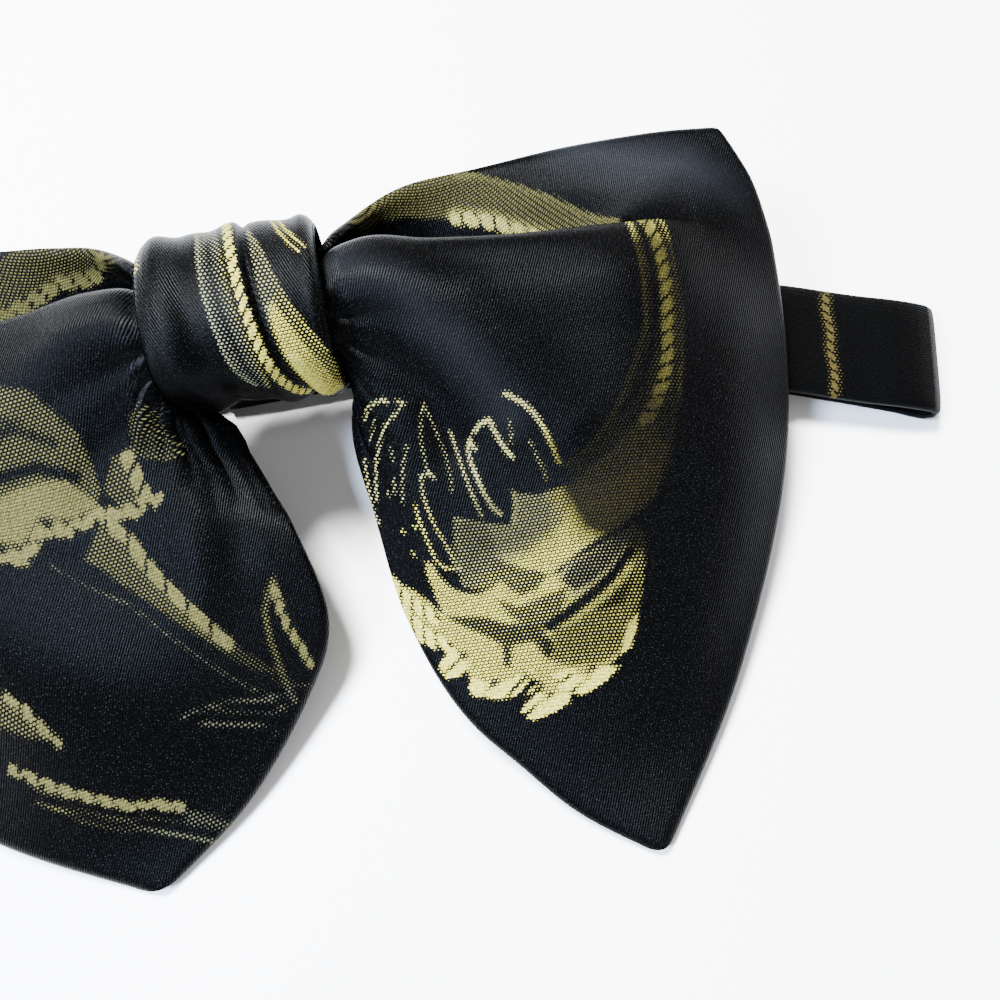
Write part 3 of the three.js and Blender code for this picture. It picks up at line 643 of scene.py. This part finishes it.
    ("line", 0.44, 0.6, [(-40, -50.5), (-35, -54), (-29.7, -56.7), (-26, -57.2), (-23, -58.2),
     (-20, -60), (-18, -60.7)]),
    ("line", 0.66, 0.6, [(-40, -52), (-35, -55.6), (-30, -57.8), (-28, -58.3), (-25.5, -59.2),
     (-23.5, -60), (-21.5, -60.8), (-18.8, -62.3)]),
    # left wing, outer part: the plume and leaves go on in the same way
    ("patch", 0.5, [(-23, -17), (-24, -10), (-28, -5), (-34, -3), (-41, -5), (-46, -10),
     (-48.6, -16), (-47, -22), (-42, -26), (-37, -24), (-31, -22), (-25, -20.5)]),
    ("patch", 0.36, [(-30, -8), (-36, -6.4), (-42, -9), (-45, -14), (-40, -13), (-35, -11)]),
    ("patch", 0.78, [(-24, -18.6), (-28, -20), (-31, -19), (-34, -22), (-37, -21), (-40, -24),
     (-43, -22), (-46, -22), (-48, -17), (-44, -16), (-39, -17), (-33, -15.4), (-27, -15)]),
    ("chain", 1.1, 1.6, 2.6, [(-24, -20), (-28, -21.4), (-31, -20.6), (-34, -24), (-37, -22.8),
     (-40, -26), (-43, -24.2), (-47, -25), (-49.6, -20), (-51, -13), (-49, -8)]),
    ("line", 0.05, 1, [(-26, -15), (-30, -13.4), (-36, -14), (-42, -17)]),
    ("line", 0.2, 0.6, [(-27, -11), (-31, -9), (-37, -9.4), (-43, -12)]),
    ("line", 0.64, 0.5, [(-52, 2), (-55, -6), (-56, -14), (-54, -22), (-49, -29), (-43, -33)]),
    ("line", 0.5, 2.2, [(-58, 2), (-60.4, -6), (-60.6, -14), (-58, -21.4), (-53.8, -28)]),
    ("chain", 1.1, 1.5, 3, [(-60, 2), (-62.4, -6), (-62.6, -14), (-59.8, -22), (-55.5, -29)]),
    ("patch", 0.5, [(-49, -33), (-43, -36), (-38, -41), (-35, -46), (-40, -44), (-46, -39.6)]),
    ("chain", 1.1, 1.1, 2.4, [(-49, -33), (-43, -36), (-38, -41), (-35, -46)]),
]

# Painted highlight and shade on the gold thread, by how it lies to the light: 1 is lit, 0 is shaded
FRONT_PAINTED_LUSTRE = [
    ("patch", 0.9, [(-100, -100), (100, -100), (100, 40), (-100, 40)]),
    ("patch", 0, [(42, 4), (49, -10), (36, -21), (36, -28), (38, -33.4), (42, -36), (47, -39),
     (54, -34), (62, -20), (64, 4)]),
    ("patch", 0.3, [(28, -24), (35, -24), (36.4, -29), (35, -33), (30, -34), (22, -34),
     (20, -28)]),
    ("patch", 0.42, [(38, -38), (43, -37.6), (48, -39), (45, -46.4), (41.6, -49), (36, -49.6),
     (31, -48), (32, -44), (35, -41)]),
    ("patch", 0.06, [(55, 8), (58, 8), (58, -6), (55.6, -16), (52.6, -17), (54.6, -6)]),
    ("patch", 0.18, [(-70, 10), (-12, 10), (6, -20), (6, -70), (-70, -60)]),
]

# Path of the gold beads along the upper edge of the back
BACK_BEADS = [(30.6, 17.7), (34, 16.9), (37, 15.9), (40, 14.6), (43, 13.4), (46, 12), (50, 10.6),
              (55, 9)]

BACK_PAINTED_LUSTRE = [
    ("patch", 0.12, [(-100, -100), (100, -100), (100, 40), (-100, 40)]),
    ("line", 0.7, 2.2, BACK_BEADS),
]

KNOT_PAINTED_LUSTRE = 0.75

# Painted sheen: where the satin's colour is made lighter to stand for a highlight
FRONT_PAINTED_SHEEN = [
    ("line", 0.5, 4.2, [(12.4, 3.2), (14.5, 1.8), (20, -1.2), (25.5, -7.5), (29, -12),
     (31.5, -16.5)]),
]

BACK_PAINTED_SHEEN = [
    ("line", 0.95, 6, [(49, 25), (57, 21), (66, 18), (72, 11)]),
]

# Where the thread looks silvery: 1 is silver, 0 is gold
BACK_PALE = 0.3
FRONT_PALE = [
    ("patch", 0.35, [(-70, 10), (-12, 10), (0, -20), (0, -70), (-70, -60)]),
    ("patch", 0.55, [(10, -8), (40, -8), (34, -26), (20, -28), (17, -24), (11, -28)]),
    ("patch", 0.5, [(20, -26), (34, -25), (36, -31), (31, -33.6), (20, -37)]),
    ("patch", 0.5, [(34, -37), (45, -33.8), (44, -38), (36, -41)]),
    ("patch", 0.75, [(-24, -44), (0, -43.4), (0, -52), (-24, -52)]),
    ("patch", 0.7, [(-40, -56), (-24, -57.4), (-20, -56), (-10, -58), (-18, -66), (-40, -58)]),
    ("line", 0.8, 1.4, [(-31, -25), (-22.6, -31.5), (-15.2, -39.5), (-8, -44.8)]),
]

KNOT_PALE = [
    ("patch", 0.85, [(-5, 16), (-5.4, 2), (-4, -10), (-2, -17), (1.4, -17), (0.4, -9), (-1, -2),
     (-1.4, 6), (-2.6, 16)]),
    ("patch", 0.6, [(2, 9), (2.4, -4), (3.4, -7), (5.2, -3), (6.4, -5), (3, 8)]),
]

WING_BACK = [
    # mesh band along the upper edge, with its dotted rim and large gold beads
    ("patch", 0.6, [(13, 13), (17, 19), (22, 22.6), (30, 23.6), (35, 22.4), (40, 20.6), (45, 18.1),
     (50, 15.1), (55, 12), (56, 8), (48, 9), (46, 11.3), (43, 13), (40, 14.2), (37, 15.5),
     (34, 16.5), (31, 17.5), (28, 18), (23, 18.3), (19, 17.3), (16, 14.8)]),
    ("line", 0.78, 0.7, [(32, 22.4), (35, 22.2), (40, 20.4), (45, 17.9), (50, 14.9), (55, 11.8)]),
    ("chain", 1.1, 1.4, 2.5, BACK_BEADS),
    # left wing
    ("patch", 0.5, [(-14, 12), (-18, 18), (-24, 21.6), (-33, 22), (-42, 19), (-48, 15), (-44, 12.4),
     (-36, 15.4), (-28, 17.6), (-20, 16.6), (-16, 13.4)]),
    ("chain", 1.1, 1.4, 2.5, [(-46, 12.4), (-36, 15.4), (-28, 17.6), (-20, 16.6)]),
]

# On the knot: along the bow, then round the wrap from its crown, positive toward the upper edge
KNOT_FIGURE = [
    ("patch", 0.4, [(-7.2, 21), (-5.4, 14), (-4, 6), (-3.9, 2), (-3.7, -2), (-3.2, -6), (-2.6, -10),
     (-1.8, -13), (-0.4, -16.4), (1.6, -17), (1.8, -14), (1, -9), (0, -4), (-0.6, 2), (-1.4, 7),
     (-3, 14), (-3.6, 21)]),
    ("line", 0.2, 0.35, [(-2.6, 6), (-2.4, 0), (-1.6, -6), (-0.6, -12), (0.6, -16.4)]),
    ("line", 0.66, 0.5, [(-5.4, 14), (-4, 6), (-3.9, 2), (-3.7, -2), (-3.2, -6), (-2.6, -10),
     (-1.8, -13), (-0.4, -16.2)]),
    ("chain", 1.1, 1.3, 1.6, [(-2.8, 21), (-1.8, 17.4), (-1.1, 13.6), (-0.5, 10), (0, 6.4),
     (0.3, 2.8), (0.6, -0.6), (1, -4), (1.5, -7.6), (2.1, -11), (2.9, -14.4), (4, -17.6),
     (5.4, -21)]),
    ("patch", 0.44, [(2.2, 9), (2.4, 6), (2.6, 2), (3, -4), (3.5, -8), (4.2, -12), (5.4, -16),
     (7, -21), (10.6, -22), (10.6, -14), (9.8, -12), (8.2, -8.5), (6.5, -5), (5, -1), (4, 2.5),
     (3, 6)]),
    ("patch", 0.66, [(3.6, -5), (4.6, -4.4), (6, -7.4), (7.6, -11), (9, -14.4), (10.5, -21),
     (7.2, -21.4), (6, -17), (4.6, -12)]),
    ("patch", 0.8, [(4.8, -11), (6.2, -11.6), (7.6, -15), (9.4, -21), (7.4, -21.4), (6.2, -17)]),
    ("line", 0.58, 0.45, [(2.4, 6), (3.9, 2.5), (5, -1), (6.5, -5), (8.2, -8.5), (9.8, -12)]),
    ("line", 0.78, 0.55, [(4.6, 16), (5.2, 10), (6.4, 5.2), (7.6, 2.6), (8.7, 1.1)]),
    ("line", 0.78, 0.55, [(5.4, 16), (6, 10.4), (7.2, 5.8), (8.4, 3.2), (9.5, 1.6)]),
    ("line", 0.5, 1.2, [(-12.6, 16), (-12.2, 10), (-11.8, 3)]),
]


def along_path(points, path, closed=False):
    """Distance of each point from a path, how far along it lies, and its place to the left."""
    path = np.array(path, float)
    ends = np.roll(path, -1, axis=0) if closed else path[1:]
    starts = path if closed else path[:-1]
    near = np.full(len(points), 1e9)
    far = np.zeros(len(points))
    left = np.zeros(len(points))
    walked = 0.0
    for a, b in zip(starts, ends):
        reach = b - a
        length = max(float(np.hypot(reach[0], reach[1])), 1e-6)
        away = points - a
        t = np.clip((away @ reach) / length ** 2, 0, 1)
        gap = np.linalg.norm(away - t[:, None] * reach, axis=1)
        closer = gap < near
        near = np.where(closer, gap, near)
        far = np.where(closer, walked + t * length, far)
        left = np.where(closer, (reach[0] * away[:, 1] - reach[1] * away[:, 0]) / length, left)
        walked += length
    return near, far, left


def inside(points, outline):
    """Which points a closed outline goes round."""
    outline = np.array(outline, float)
    within = np.zeros(len(points), bool)
    for a, b in zip(outline, np.roll(outline, -1, axis=0)):
        crosses = (a[1] > points[:, 1]) != (b[1] > points[:, 1])
        rise = (b[1] - a[1]) if abs(b[1] - a[1]) > 1e-9 else 1e-9
        meets = points[:, 0] < (b[0] - a[0]) * (points[:, 1] - a[1]) / rise + a[0]
        within ^= crosses & meets
    return within


def draw(figure, points, soft=0.6):
    """How much shows at each point after the shapes are drawn one over the other."""
    drawn = np.zeros(len(points))
    for shape in figure:
        kind, amount, *sizes, path = shape
        near, far, left = along_path(points, path, kind == "patch")
        if kind == "patch":
            depth = np.where(inside(points, path), near, -near)
        else:
            depth = sizes[0] / 2 - near
        if kind == "chain":
            pitch = sizes[1]
            bead = np.abs(((far + left * CHAIN_LEAN) / pitch) % 1 - 0.5) * pitch
            amount = amount - np.clip(1 - bead / min(0.55, 0.28 * pitch), 0, 1)
        drawn = drawn + (amount - drawn) * np.clip(0.5 + depth / soft, 0, 1)
    return drawn


def finished(piece, node, slot, material):
    """Joins a piece to the frame and gives it its finish."""
    piece.name = node + "_cloth" if slot != "clasp_finish" else node + "_shell"
    piece.data.name = piece.name
    piece.data.materials.clear()
    piece.data.materials.append(material)
    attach(piece, "root")
    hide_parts(node)


def numbers_on_points(piece, **numbers):
    """Lets each mesh point carry its own numbers, for the finish to read."""
    for name, values in numbers.items():
        layer = piece.data.attributes.new(name, "FLOAT", "POINT")
        layer.data.foreach_set("value", np.ascontiguousarray(values, dtype=np.float32))


def corners(piece):
    flat = np.empty(len(piece.data.vertices) * 3)
    piece.data.vertices.foreach_get("co", flat)
    return flat.reshape(-1, 3)


def move_corners(piece, points):
    """Puts the mesh points at places given in millimetres of the bow."""
    placed = (points + SHIFT) * MM
    piece.data.vertices.foreach_set("co", placed.ravel())
    piece.data.update()


def steps_between(low, high, count, edge_low, edge_high):
    """Places from low to high, closer together at a finished edge."""
    fine = np.array([0, 0.1, 0.3, 0.6, 1.0, 1.5])
    start = low + fine[-1] * edge_low
    stop = high - fine[-1] * edge_high
    first = low + fine[:-1] if edge_low else []
    last = high - fine[-2::-1] if edge_high else []
    return np.concatenate([first, np.linspace(start, stop, count), last])


# Soft folds of the wings: height, half width and path, seen from above
FOLDS = [
    (1, 4.2, [(13.4, 2), (20, 0), (28, -4), (35, -11), (40, -19)]),
    (-1, 3.2, [(13, -6), (17, -8.4), (21, -12.5), (24, -19)]),
    (0.6, 4, [(13, -8), (16, -14), (17, -22), (18, -32)]),
    (0.5, 7, [(52, -4), (50, -22), (42, -42)]),
    (0.9, 4, [(-16, 2), (-22, 0), (-30, -5), (-40, -14)]),
    (-0.8, 3, [(-16, -6), (-20, -10.5), (-25, -18)]),
    (0.7, 3.4, [(-14.4, -9), (-13, -14), (-12, -22), (-14, -32)]),
    (-0.5, 3, [(-15, -13), (-10.6, -18), (-8.6, -26)]),
    (0.5, 7, [(-58, 0), (-52, -20), (-38, -40)]),
]


def gathers(along, across, points):
    """Small pleats that fan out from the knot, soft folds, and slow waves further out."""
    away = np.maximum(np.abs(along) - 12.0, 0.0)
    close = np.exp(-away / 7.0) * ramp(away, 0, 2.5)
    pleats = np.sin(across * 0.47 + 0.6) * 0.30 + np.sin(across * 0.83 + 2.0) * 0.16
    waves = np.sin(along * 0.11 + across * 0.05) * np.sin(across * 0.07 - 0.4) * 0.30
    lift = close * pleats + ramp(away, 0, 25) * waves
    front = ramp(across, 26, 34) * ramp(away, 0, 3)
    for height, width, path in FOLDS:
        near, _, _ = along_path(points[:, :2], path)
        lift = lift + front * height * hump(near, 0, width)
    return lift


def make_wings(material):
    """One satin sheet folded lengthwise, gathered at the knot, with sewn outer edges."""
    left, right = GATHERED
    along = np.concatenate([steps_between(-WING_END, left, 84, True, False)[:-1],
                            np.linspace(left, right, 9)[:-1],
                            steps_between(right, WING_END, 140, False, True)])
    across = steps_between(0, CLOTH_WIDTH, 184, True, True)
    columns, rows = len(along), len(across)
    bpy.ops.object.select_all(action="DESELECT")
    bpy.ops.mesh.primitive_grid_add(x_subdivisions=columns - 1, y_subdivisions=rows - 1, size=1)
    wings = bpy.context.object
    flat = corners(wings)
    i = np.rint((flat[:, 0] + 0.5) * (columns - 1)).astype(int)
    j = np.rint((0.5 - flat[:, 1]) * (rows - 1)).astype(int)
    s, v = along[i], across[j]

    # rounded corners of the cloth
    side = WING_END - np.abs(s)
    hem = np.minimum(v, CLOTH_WIDTH - v)
    q = np.clip(CORNER - np.stack([side, hem], axis=1), 0, None) / CORNER
    both = (q[:, 0] > 0) & (q[:, 1] > 0)
    scale = np.where(both, q.max(axis=1) / np.maximum(np.hypot(q[:, 0], q[:, 1]), 1e-9), 1.0)
    side = np.where(both, CORNER - q[:, 0] * scale * CORNER, side)
    hem = np.where(both, CORNER - q[:, 1] * scale * CORNER, hem)
    s = np.sign(s) * (WING_END - side)
    v = np.where(v < CLOTH_WIDTH / 2, hem, CLOTH_WIDTH - hem)

    points = cloth_point(s, v)
    grid = np.empty((columns, rows, 3))
    grid[i, j] = points
    normals = np.cross(np.gradient(grid, axis=1), np.gradient(grid, axis=0))
    normals /= np.maximum(np.linalg.norm(normals, axis=2, keepdims=True), 1e-9)
    points = points + normals[i, j] * gathers(s, v, points)[:, None]
    points[:, 2] = np.maximum(points[:, 2], LOWEST)
    move_corners(wings, points)
    grid[i, j] = points

    # lengths in the cloth, for the weave, from the crest down
    steps = np.diff(grid[:, :, 1:], axis=1, prepend=grid[:, :1, 1:])
    down = np.cumsum(np.hypot(steps[:, :, 0], steps[:, :, 1]), axis=1)
    crest_row = int(np.argmin(np.abs(across - ACROSS["crest"])))
    down -= down[:, crest_row:crest_row + 1]
    seen, front = points[:, :2], v > FRONT_BEGINS
    # painted sheen on the front and on the upper flap, each faded out toward the crest
    sheen = (draw(FRONT_PAINTED_SHEEN, seen, 4.0) * ramp(v, 26, 32)
             + draw(BACK_PAINTED_SHEEN, seen, 6.0) * ramp(v, 22, 8))
    numbers_on_points(
        wings, cloth_u=points[:, 0], cloth_v=down[i, j],
        gold=np.where(front, draw(WING_FRONT, seen), draw(WING_BACK, seen)),
        lustre=np.where(front, draw(FRONT_PAINTED_LUSTRE, seen, 3.5), draw(BACK_PAINTED_LUSTRE, seen, 1.0)),
        pale=np.where(front, draw(FRONT_PALE, seen, 1.5), BACK_PALE), sheen=sheen)

    # wall that thins to a rounded edge
    full = np.sqrt(np.clip(1 - (1 - ramp(np.minimum(side, hem), 0, RIM)) ** 2, 0.06, 1))
    group = wings.vertex_groups.new(name="wall")
    for level in np.unique(np.round(full, 2)):
        chosen = np.nonzero(np.round(full, 2) == level)[0]
        group.add(chosen.tolist(), float(level), "REPLACE")
    wall = wings.modifiers.new("wall", "SOLIDIFY")
    wall.thickness = CLOTH_WALL * MM
    wall.offset = 0
    wall.vertex_group = "wall"
    bpy.ops.object.modifier_apply(modifier="wall")
    bpy.ops.object.shade_smooth()
    finished(wings, "bow_wings", "figured_satin", material)


def ring_mesh(name, around, through):
    """A closed ring of closed sections, with the step round the ring and through the section."""
    bpy.ops.object.select_all(action="DESELECT")
    bpy.ops.mesh.primitive_torus_add(major_segments=around, minor_segments=through,
                                     major_radius=1.0, minor_radius=0.25)
    piece = bpy.context.object
    piece.name = name
    flat = corners(piece)
    i = np.rint(np.arctan2(flat[:, 1], flat[:, 0]) / math.tau * around).astype(int) % around
    lean = np.arctan2(flat[:, 2], np.hypot(flat[:, 0], flat[:, 1]) - 1.0)
    j = np.rint(lean / math.tau * through).astype(int) % through
    return piece, i, j


def knot_profile():
    """The wrap cut lengthwise: place along the bow, and depth below the outer surface."""
    left, right, half = KNOT["left"], KNOT["right"], KNOT_WALL / 2
    turns = np.linspace(0, math.pi, 16)[1:-1]
    outer = [(x, 0.0) for x in np.linspace(left + half, right - half, 90)]
    cap_right = [(right - half + half * math.sin(a), half - half * math.cos(a)) for a in turns]
    inner = [(x, KNOT_WALL) for x in np.linspace(right - half, left + half, 22)]
    cap_left = [(left + half - half * math.sin(a), half + half * math.cos(a)) for a in turns]
    return np.array(outer + cap_right + inner + cap_left)


def make_knot(material):
    """Wrap of the knot: a puffy oval sleeve, creased lengthwise, with turned-in ends."""
    around, through = 300, 140
    knot, i, j = ring_mesh("knot", around, through)
    x, inset = knot_profile()[j].T
    turn = i / around * math.tau
    arc = ((turn - math.pi / 2 + math.pi) % math.tau - math.pi) * -KNOT["wrap"]
    outside, within = inset < KNOT_WALL / 2, inset > KNOT_WALL / 2

    # a full middle, a long crease, slack waves and a tuck in the near lower part
    middle = (KNOT["left"] + KNOT["right"]) / 2
    puff = 1 - (np.abs(x - middle) / (KNOT["right"] - middle)) ** 4
    crease = read_off(arc, CREASE)
    dent = -0.55 * hump(x, crease, 0.55) + 0.30 * hump(x, crease + 1.9, 1.3)
    slack = (0.28 * np.sin(x * 0.62 + 1.1 + arc * 0.05)
             + 0.18 * np.sin(x * 1.25 + arc * 0.12 + 0.4))
    tuck = ramp(arc, -10, -18) * ramp(arc, -24, -21) * ramp(x, 6, -10)
    out = 0.35 * puff - 0.6 * (1 - np.clip(puff * 2.2, 0, 1)) - 0.9 * tuck
    out = np.where(outside, out + (dent + slack) * np.clip(puff * 1.6, 0, 1), 0)
    out -= read_off(arc, DRAWN_UP_ROUND) * read_off(x, DRAWN_UP_ALONG)
    # the inner wall closes in on the cloth behind the crest
    snug = hump(np.degrees(turn), 66, 23) * hump(x, 0, 6)
    out = np.where(within, out - 2.6 * snug, out)

    power = 2 / KNOT["power"]
    y = KNOT["y"] + (KNOT["half_y"] + out - inset) * squared_off(np.cos(turn), power)
    z = KNOT["z"] + (KNOT["half_z"] + out - inset) * squared_off(np.sin(turn), power)
    move_corners(knot, np.stack([x, y, z], axis=1))
    wrap = np.stack([x, arc], axis=1)
    numbers_on_points(knot, cloth_u=x, cloth_v=arc,
                      gold=np.where(outside, draw(KNOT_FIGURE, wrap), 0.0),
                      lustre=np.full(len(x), KNOT_PAINTED_LUSTRE), pale=draw(KNOT_PALE, wrap, 0.8))
    bpy.ops.object.shade_smooth()
    finished(knot, "knot_band", "figured_satin", material)


def make_band(material):
    """Neck band: a flat woven strip in one closed loop."""
    around, through = 900, 32
    band, i, j = ring_mesh("band", around, through)
    line = np.array(BAND_LINE, float)
    closed = np.vstack([line[-2:], line, line[:3]])
    steps = np.linalg.norm(np.diff(closed[:, :3], axis=0), axis=1)
    marks = np.concatenate([[0], np.cumsum(steps)])
    start, stop = marks[2], marks[2 + len(line)]
    where = start + (stop - start) * np.arange(around) / around
    row = smooth_at(marks, closed, where)
    middle = row[:, :3]
    tangent = np.roll(middle, -1, axis=0) - np.roll(middle, 1, axis=0)
    heading = np.radians(row[:, 3])
    lateral = np.stack([-np.sin(heading), np.cos(heading), np.zeros(around)], axis=1)
    normal = np.cross(tangent, lateral)
    normal /= np.linalg.norm(normal, axis=1, keepdims=True)

    # a flat section with rounded edges, curled where it runs through the knot
    turn = j / through * math.tau
    reach = squared_off(np.cos(turn), 0.35) * BAND_WIDTH / 2
    lift = squared_off(np.sin(turn), 0.45) * BAND_WALL / 2
    curl = np.interp(where, marks, closed[:, 4])[i]
    curled, tightest, straight = curl > 0.5, 9.5, 1e5
    bend = np.where(curled, np.maximum(curl, tightest), straight)
    angle, radius = reach / bend, bend - lift
    side = np.where(curled, radius * np.sin(angle), reach)
    up = np.where(curled, bend - radius * np.cos(angle), lift)
    points = middle[i] + lateral[i] * side[:, None] + normal[i] * up[:, None]
    points[:, 2] = np.maximum(points[:, 2], 0.0)
    move_corners(band, points)
    upper_run = middle[i, 2] > UPPER_RUN
    numbers_on_points(band, cloth_u=where[i] - start, cloth_v=reach,
                      stripe=np.where(upper_run, middle[i, 0], NO_STRIPE))
    bpy.ops.object.shade_smooth()
    finished(band, "neck_band", "band_cloth", material)


def make_clasp(material):
    """Clasp: a flat moulded sleeve with rounded edges."""
    around, through = 96, 40
    clasp, i, j = ring_mesh("clasp", around, through)
    low = CLASP["wall_bottom"]
    high = low + BAND_WALL + 2 * GAP
    middle = (low + high) / 2
    # a rounded rectangle round the band, from its middle
    turn, lap = i / around * math.tau, j / through * math.tau
    cy, sy, cl, sl = (squared_off(value, CLASP["corner"])
                      for value in (np.cos(turn), np.sin(turn), np.cos(lap), np.sin(lap)))
    outward = (cl + 1) / 2
    wide = BAND_WIDTH / 2 + GAP + np.where(cy < 0, CLASP["wall_near"], CLASP["wall_side"]) * outward
    above = high - middle + CLASP["wall_top"] * outward
    below = middle - low + low * outward
    y = CLASP["y"] + wide * cy
    z = middle + np.where(sy > 0, above, below) * sy
    move_corners(clasp, np.stack([sl * CLASP["length"] / 2, y, z], axis=1))
    bpy.ops.object.shade_smooth()
    finished(clasp, "band_clasp", "clasp_finish", material)


def make_floor(material):
    bpy.ops.object.select_all(action="DESELECT")
    bpy.ops.mesh.primitive_plane_add(size=4)
    floor = bpy.context.object
    floor.name = "floor"
    floor.data.materials.append(material)


place_camera()
light_studio()
make_floor(floor_finish())
satin = satin_finish()
make_wings(satin)
make_knot(satin)
make_band(band_finish())
make_clasp(clasp_finish())
